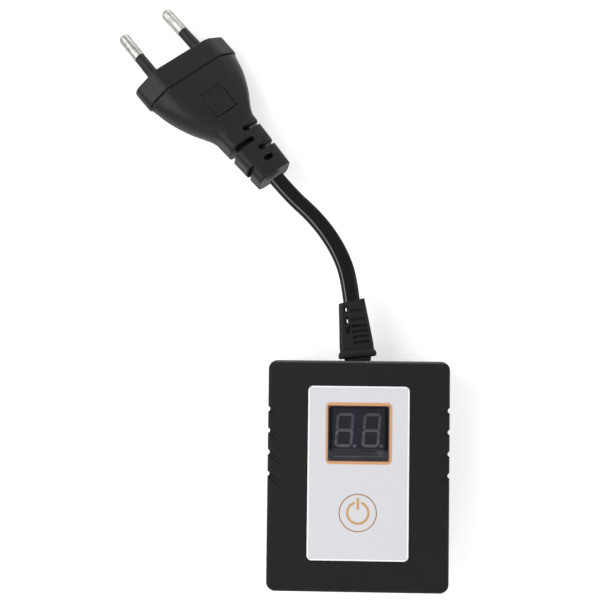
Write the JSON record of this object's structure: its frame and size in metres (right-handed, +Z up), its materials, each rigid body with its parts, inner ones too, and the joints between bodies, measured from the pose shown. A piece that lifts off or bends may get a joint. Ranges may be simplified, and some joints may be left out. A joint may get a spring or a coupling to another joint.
{
  "type": "aquarium light timer",
  "caption": "Small black plastic timer box with a glossy white panel, digit display and power key, a short flat cord with a moulded mains plug, and an output socket.",
  "frame": {"origin": "middle of the case's back face, on the surface the part lies on", "axes": "+Z up out of the display, +Y along the case towards the cord end, +X to the right of the display"},
  "size_m": [0.1088, 0.1899, 0.03],
  "materials": {
    "case_black": "fine spark-eroded texture",
    "panel_white": "glossy printed sheet",
    "window_smoke": "clear window in the printed sheet",
    "display_face": "dark moulded face",
    "segment_grey": "unlit translucent segments",
    "tinned_pin": "tinned wire",
    "circuit_board": "solder-masked glass epoxy",
    "chip_black": "moulded epoxy",
    "crystal_can": "nickel-plated can",
    "switch_black": "moulded switch base",
    "plunger_black": "moulded plunger",
    "key_white": "glossy, with a printed ring and symbol",
    "header_black": "moulded strip with tinned pins",
    "relay_black": "sealed moulded case",
    "film_yellow": "potted box",
    "can_sleeve": "shrunk sleeve on an aluminium can",
    "rectifier_black": "moulded epoxy",
    "fuse_brown": "moulded fuse body",
    "varistor_blue": "dipped coating",
    "resistor_tan": "lacquered body",
    "socket_black": "heat-resistant moulding",
    "contact_brass": "bright sprung brass",
    "lead_brown": "PVC insulation",
    "lead_blue": "PVC insulation",
    "grommet_black": "soft moulded PVC",
    "cord_black": "extruded PVC sheath",
    "plug_black": "soft moulded PVC",
    "bridge_grey": "hard moulded insert",
    "pin_nickel": "nickel-plated brass",
    "sleeve_black": "moulded insulating sleeve",
    "screw_steel": "zinc-plated steel"
  },
  "bodies": {
    "case": {"front_shell": "case_black", "rear_shell": "case_black", "overlay_panel": "panel_white", "display_lens": "window_smoke", "display_module": "display_face", "display_segments": "segment_grey", "display_pins": "tinned_pin", "control_board": "circuit_board", "microcontroller": "chip_black", "crystal": "crystal_can", "tact_switch_body": "switch_black", "board_link_header": "header_black", "power_board": "circuit_board", "relay": "relay_black", "film_capacitor": "film_yellow", "electrolytic_capacitor": "can_sleeve", "bridge_rectifier": "rectifier_black", "fuse": "fuse_brown", "varistor": "varistor_blue", "resistors": "resistor_tan", "socket_block": "socket_black", "socket_contact_left": "contact_brass", "socket_contact_right": "contact_brass", "supply_lead_live": "lead_brown", "supply_lead_neutral": "lead_blue", "socket_lead_live": "lead_brown", "socket_lead_neutral": "lead_blue", "cord_grommet": "grommet_black", "power_cord": "cord_black", "plug_body": "plug_black", "plug_bridge": "bridge_grey", "plug_pin_left": "pin_nickel", "plug_pin_right": "pin_nickel", "pin_sleeve_left": "sleeve_black", "pin_sleeve_right": "sleeve_black", "case_screws": "screw_steel", "control_board_screws": "screw_steel", "power_board_screws": "screw_steel"},
    "power_key": {"power_key_cap": "key_white", "tact_switch_plunger": "plunger_black"}
  },
  "joints": [
    {"name": "power_key_press", "type": "slide", "parent": "case", "child": "power_key", "axis": [0, 0, -1], "range_m": [0, 0.0004], "stiffness_N_per_m": 4000}
  ]
}
